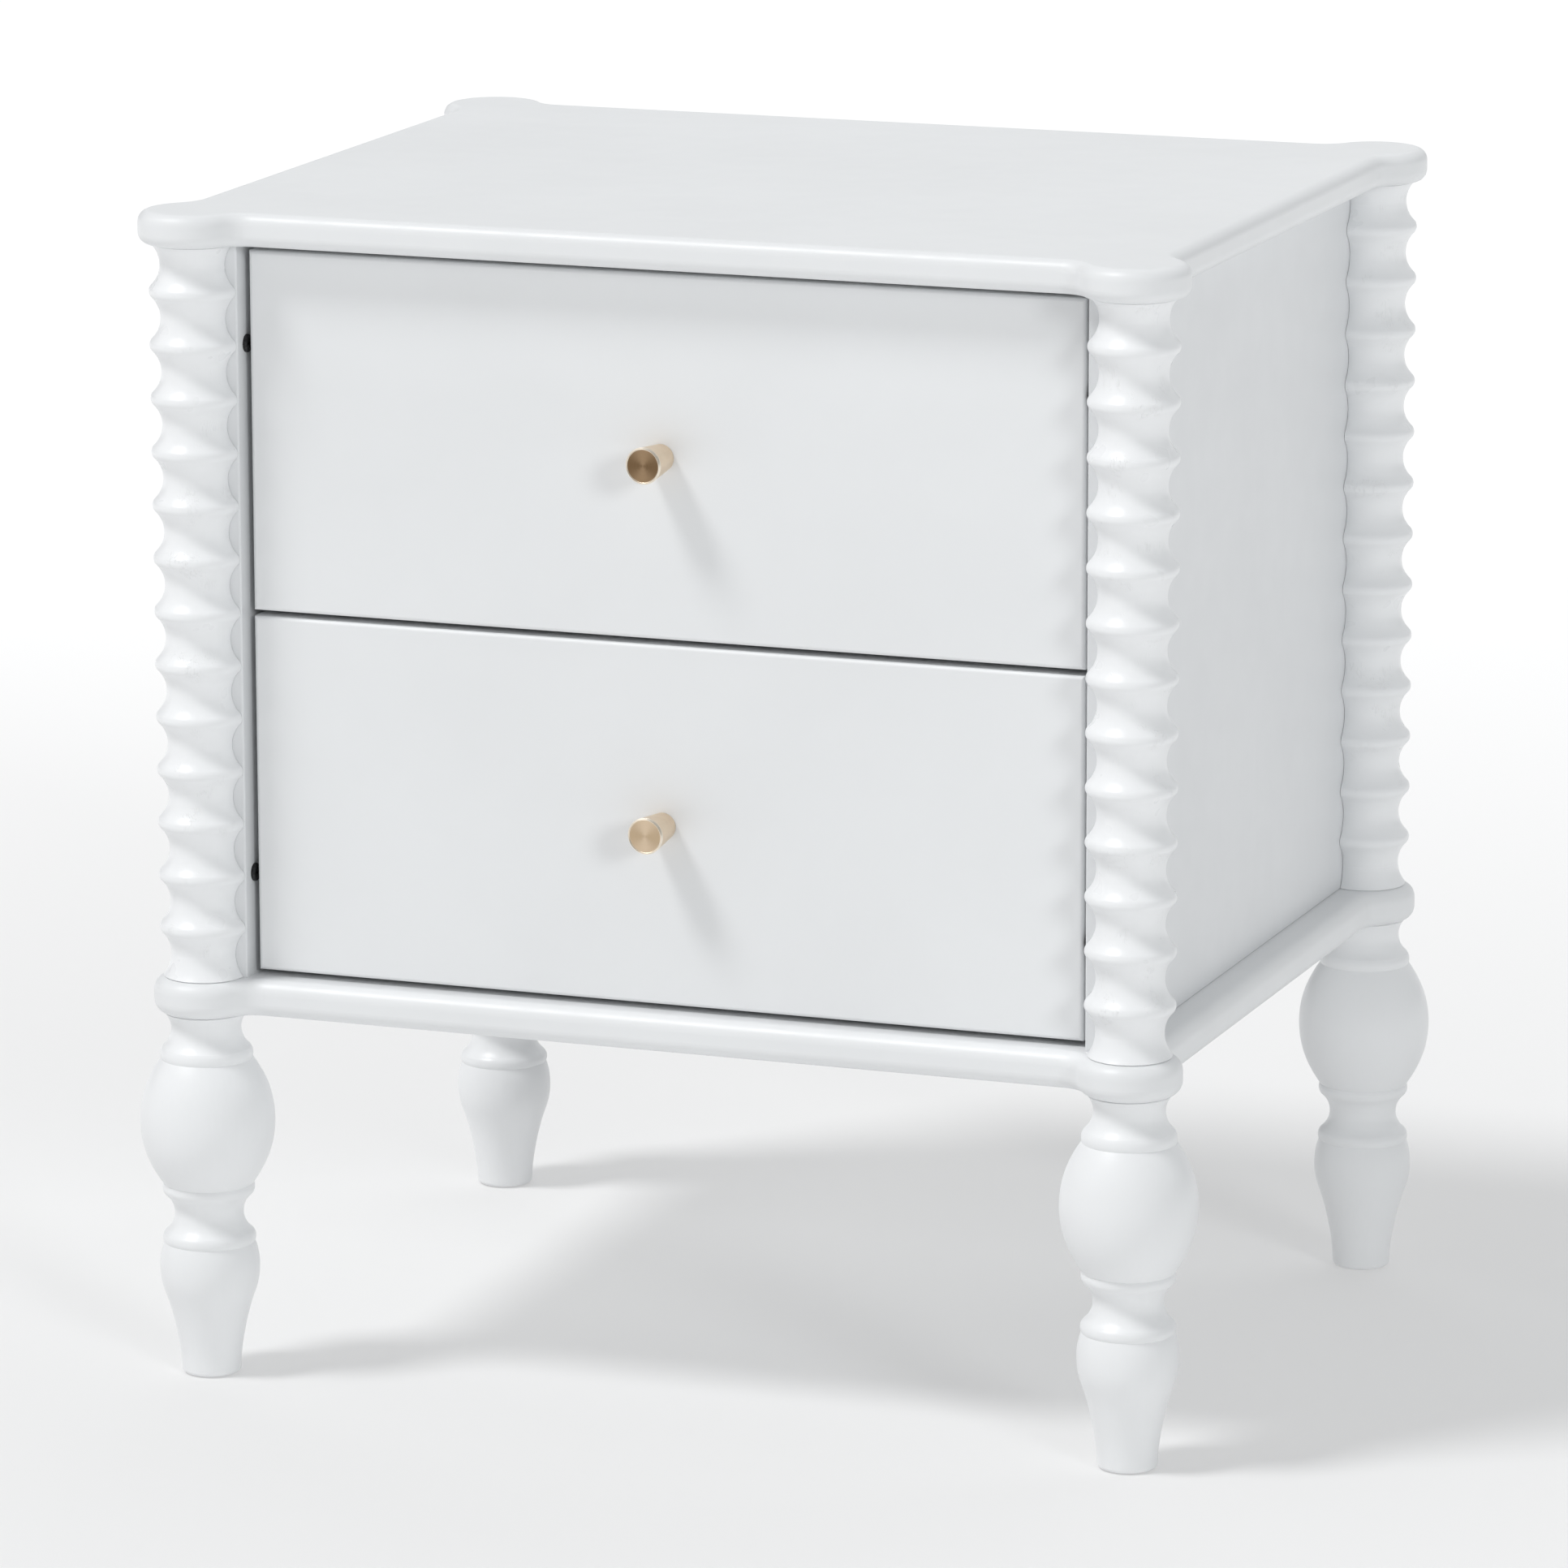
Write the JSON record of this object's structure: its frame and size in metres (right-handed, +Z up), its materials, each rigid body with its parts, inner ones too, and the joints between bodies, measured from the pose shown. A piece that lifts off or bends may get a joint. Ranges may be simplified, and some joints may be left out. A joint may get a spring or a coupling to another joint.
{
  "type": "nightstand",
  "caption": "Low bedside cabinet with stacked sliding drawers, spool-turned corner columns, baluster legs, round-eared top and base boards and small tapered metal knobs.",
  "frame": {"origin": "on the floor, under the middle of the top board", "axes": "+Z up; the drawers face -Y and open towards -Y; +X to the right of someone facing the drawers"},
  "size_m": [0.5616, 0.4646, 0.6],
  "materials": {
    "white_lacquer": "satin white lacquer over sanded board and turned wood",
    "back_board": "thin white-faced fibreboard",
    "drawer_wood": "clear-lacquered light hardwood ply",
    "drawer_base": "thin light ply",
    "brushed_brass": "fine turned and brushed, pale champagne brass",
    "black_screw": "black oxide",
    "zinc_hardware": "bright zinc plate",
    "slide_steel": "zinc-plated rolled steel",
    "slide_cage": "pressed steel with polished balls",
    "beech_dowel": "plain fluted beech"
  },
  "bodies": {
    "case": {"top_panel": "white_lacquer", "bottom_panel": "white_lacquer", "side_panel_left": "white_lacquer", "side_panel_right": "white_lacquer", "back_panel": "back_board", "column_front_left": "white_lacquer", "column_front_right": "white_lacquer", "column_back_left": "white_lacquer", "column_back_right": "white_lacquer", "leg_front_left": "white_lacquer", "leg_front_right": "white_lacquer", "leg_back_left": "white_lacquer", "leg_back_right": "white_lacquer", "leg_bolt_front_left": "zinc_hardware", "leg_bolt_front_right": "zinc_hardware", "leg_bolt_back_left": "zinc_hardware", "leg_bolt_back_right": "zinc_hardware", "leg_inserts": "zinc_hardware", "column_screws_left": "black_screw", "column_screws_right": "black_screw", "column_dowels": "beech_dowel", "panel_dowels": "beech_dowel", "panel_cams": "zinc_hardware", "panel_cam_bolts": "zinc_hardware", "back_panel_screws": "zinc_hardware", "slide_screws_case_left": "zinc_hardware", "slide_screws_case_right": "zinc_hardware", "slide_outer_upper_left": "slide_steel", "slide_outer_upper_right": "slide_steel", "slide_outer_lower_left": "slide_steel", "slide_outer_lower_right": "slide_steel"},
    "drawer_upper": {"drawer_front_upper": "white_lacquer", "drawer_side_upper_left": "drawer_wood", "drawer_side_upper_right": "drawer_wood", "drawer_back_upper": "drawer_wood", "drawer_bottom_upper": "drawer_base", "drawer_dowels_upper": "beech_dowel", "knob_upper": "brushed_brass", "knob_screw_upper": "zinc_hardware", "slide_inner_upper_left": "slide_steel", "slide_inner_upper_right": "slide_steel", "slide_screws_drawer_upper": "zinc_hardware"},
    "ball_cage_upper_left": {"slide_cage_upper_left": "slide_cage"},
    "ball_cage_upper_right": {"slide_cage_upper_right": "slide_cage"},
    "drawer_lower": {"drawer_front_lower": "white_lacquer", "drawer_side_lower_left": "drawer_wood", "drawer_side_lower_right": "drawer_wood", "drawer_back_lower": "drawer_wood", "drawer_bottom_lower": "drawer_base", "drawer_dowels_lower": "beech_dowel", "knob_lower": "brushed_brass", "knob_screw_lower": "zinc_hardware", "slide_inner_lower_left": "slide_steel", "slide_inner_lower_right": "slide_steel", "slide_screws_drawer_lower": "zinc_hardware"},
    "ball_cage_lower_left": {"slide_cage_lower_left": "slide_cage"},
    "ball_cage_lower_right": {"slide_cage_lower_right": "slide_cage"}
  },
  "joints": [
    {"name": "drawer_upper_slide", "type": "slide", "parent": "case", "child": "drawer_upper", "axis": [0, -1, 0], "range_m": [0, 0.24]},
    {"name": "ball_cage_upper_left_slide", "type": "slide", "parent": "case", "child": "ball_cage_upper_left", "axis": [0, -1, 0], "range_m": [0, 0.12]},
    {"name": "ball_cage_upper_right_slide", "type": "slide", "parent": "case", "child": "ball_cage_upper_right", "axis": [0, -1, 0], "range_m": [0, 0.12]},
    {"name": "drawer_lower_slide", "type": "slide", "parent": "case", "child": "drawer_lower", "axis": [0, -1, 0], "range_m": [0, 0.24]},
    {"name": "ball_cage_lower_left_slide", "type": "slide", "parent": "case", "child": "ball_cage_lower_left", "axis": [0, -1, 0], "range_m": [0, 0.12]},
    {"name": "ball_cage_lower_right_slide", "type": "slide", "parent": "case", "child": "ball_cage_lower_right", "axis": [0, -1, 0], "range_m": [0, 0.12]}
  ],
  "couplings": [
    {"joint": "ball_cage_upper_left_slide", "follows": "drawer_upper_slide", "ratio": 0.5},
    {"joint": "ball_cage_upper_right_slide", "follows": "drawer_upper_slide", "ratio": 0.5},
    {"joint": "ball_cage_lower_left_slide", "follows": "drawer_lower_slide", "ratio": 0.5},
    {"joint": "ball_cage_lower_right_slide", "follows": "drawer_lower_slide", "ratio": 0.5}
  ]
}
